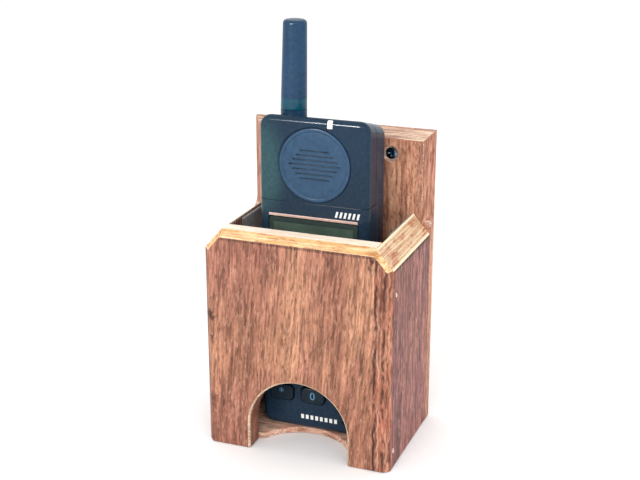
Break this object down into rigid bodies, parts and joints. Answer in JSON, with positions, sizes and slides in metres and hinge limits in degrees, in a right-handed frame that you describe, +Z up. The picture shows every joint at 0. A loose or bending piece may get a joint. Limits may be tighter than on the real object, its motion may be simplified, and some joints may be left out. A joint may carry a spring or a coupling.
{
  "type": "hand-held two-way radio telephone in a wooden wall holder",
  "caption": "Slim hand-held radio telephone with a stub antenna, keypad and clip-on battery, standing in an open wooden holder with an arched front for a wall or desk.",
  "frame": {"origin": "bottom centre of the holder, on the surface that it stands on", "axes": "+Z up; the holder's arched front and the handset's keypad face -Y; the wall is at +Y"},
  "size_m": [0.088, 0.062, 0.1925],
  "materials": {
    "wood_face": "oiled satin",
    "wood_side": "oiled satin",
    "felt": "matte felt",
    "black_steel": "blackened",
    "bright_steel": "bright",
    "case_plastic": "fine-textured gloss",
    "earpiece_plastic": "satin",
    "display_glass": "polished, dark green",
    "pale_trim": "satin",
    "white_lens": "polished",
    "rubber": "satin",
    "circuit_laminate": "solder mask",
    "tinned_steel": "tinned",
    "contact_brass": "bright",
    "cell_sleeve": "shrink sleeve",
    "key_plastic": "satin"
  },
  "bodies": {
    "holder": {"back_board": "wood_face", "front_board": "wood_face", "floor_board": "wood_face", "left_side_board": "wood_side", "right_side_board": "wood_side", "left_felt_liner": "felt", "right_felt_liner": "felt", "left_wall_screw": "black_steel", "right_wall_screw": "black_steel", "left_brad_lower": "bright_steel", "left_brad_upper": "bright_steel", "right_brad_lower": "bright_steel", "right_brad_upper": "bright_steel"},
    "handset": {"front_cover": "case_plastic", "rear_cover": "case_plastic", "case_screw_1": "bright_steel", "case_screw_2": "bright_steel", "case_screw_3": "bright_steel", "case_screw_4": "bright_steel", "earpiece_cover": "earpiece_plastic", "display_window": "display_glass", "display_trim": "pale_trim", "indicator_lens": "white_lens", "antenna_collar": "rubber", "antenna_whip": "rubber", "keypad_membrane": "rubber", "circuit_board": "circuit_laminate", "shield_can": "tinned_steel", "display_module": "tinned_steel", "earpiece_speaker": "tinned_steel", "microphone": "black_steel", "bottom_connector": "contact_brass", "battery_contacts": "contact_brass"},
    "battery_pack": {"battery_shell": "case_plastic", "battery_lid": "case_plastic", "battery_cell_left_lower": "cell_sleeve", "battery_cell_left_upper": "cell_sleeve", "battery_cell_right_lower": "cell_sleeve", "battery_cell_right_upper": "cell_sleeve"},
    "battery_latch": {"battery_latch": "key_plastic"},
    "key_call": {"key_call": "key_plastic"},
    "key_clear": {"key_clear": "key_plastic"},
    "key_end": {"key_end": "key_plastic"},
    "key_1": {"key_1": "key_plastic"},
    "key_2": {"key_2": "key_plastic"},
    "key_3": {"key_3": "key_plastic"},
    "key_4": {"key_4": "key_plastic"},
    "key_5": {"key_5": "key_plastic"},
    "key_6": {"key_6": "key_plastic"},
    "key_7": {"key_7": "key_plastic"},
    "key_8": {"key_8": "key_plastic"},
    "key_9": {"key_9": "key_plastic"},
    "key_star": {"key_star": "key_plastic"},
    "key_0": {"key_0": "key_plastic"},
    "key_hash": {"key_hash": "key_plastic"},
    "volume_key_down": {"volume_key_down": "key_plastic"},
    "volume_key_up": {"volume_key_up": "key_plastic"}
  },
  "joints": [
    {"name": "handset_lift", "type": "slide", "parent": "holder", "child": "handset", "axis": [0, 0, 1], "range_m": [0, 0.11]},
    {"name": "battery_pull", "type": "slide", "parent": "handset", "child": "battery_pack", "axis": [0, 1, 0], "range_m": [0, 0.009]},
    {"name": "battery_latch_press", "type": "slide", "parent": "battery_pack", "child": "battery_latch", "axis": [0, 0, -1], "range_m": [0, 0.002], "stiffness_N_per_m": 500},
    {"name": "key_call_press", "type": "slide", "parent": "handset", "child": "key_call", "axis": [0, 1, 0], "range_m": [0, 0.0008], "stiffness_N_per_m": 900},
    {"name": "key_clear_press", "type": "slide", "parent": "handset", "child": "key_clear", "axis": [0, 1, 0], "range_m": [0, 0.0008], "stiffness_N_per_m": 900},
    {"name": "key_end_press", "type": "slide", "parent": "handset", "child": "key_end", "axis": [0, 1, 0], "range_m": [0, 0.0008], "stiffness_N_per_m": 900},
    {"name": "key_1_press", "type": "slide", "parent": "handset", "child": "key_1", "axis": [0, 1, 0], "range_m": [0, 0.0008], "stiffness_N_per_m": 900},
    {"name": "key_2_press", "type": "slide", "parent": "handset", "child": "key_2", "axis": [0, 1, 0], "range_m": [0, 0.0008], "stiffness_N_per_m": 900},
    {"name": "key_3_press", "type": "slide", "parent": "handset", "child": "key_3", "axis": [0, 1, 0], "range_m": [0, 0.0008], "stiffness_N_per_m": 900},
    {"name": "key_4_press", "type": "slide", "parent": "handset", "child": "key_4", "axis": [0, 1, 0], "range_m": [0, 0.0008], "stiffness_N_per_m": 900},
    {"name": "key_5_press", "type": "slide", "parent": "handset", "child": "key_5", "axis": [0, 1, 0], "range_m": [0, 0.0008], "stiffness_N_per_m": 900},
    {"name": "key_6_press", "type": "slide", "parent": "handset", "child": "key_6", "axis": [0, 1, 0], "range_m": [0, 0.0008], "stiffness_N_per_m": 900},
    {"name": "key_7_press", "type": "slide", "parent": "handset", "child": "key_7", "axis": [0, 1, 0], "range_m": [0, 0.0008], "stiffness_N_per_m": 900},
    {"name": "key_8_press", "type": "slide", "parent": "handset", "child": "key_8", "axis": [0, 1, 0], "range_m": [0, 0.0008], "stiffness_N_per_m": 900},
    {"name": "key_9_press", "type": "slide", "parent": "handset", "child": "key_9", "axis": [0, 1, 0], "range_m": [0, 0.0008], "stiffness_N_per_m": 900},
    {"name": "key_star_press", "type": "slide", "parent": "handset", "child": "key_star", "axis": [0, 1, 0], "range_m": [0, 0.0008], "stiffness_N_per_m": 900},
    {"name": "key_0_press", "type": "slide", "parent": "handset", "child": "key_0", "axis": [0, 1, 0], "range_m": [0, 0.0008], "stiffness_N_per_m": 900},
    {"name": "key_hash_press", "type": "slide", "parent": "handset", "child": "key_hash", "axis": [0, 1, 0], "range_m": [0, 0.0008], "stiffness_N_per_m": 900},
    {"name": "volume_key_down_press", "type": "slide", "parent": "handset", "child": "volume_key_down", "axis": [1, 0, 0], "range_m": [0, 0.0007], "stiffness_N_per_m": 900},
    {"name": "volume_key_up_press", "type": "slide", "parent": "handset", "child": "volume_key_up", "axis": [1, 0, 0], "range_m": [0, 0.0007], "stiffness_N_per_m": 900}
  ]
}
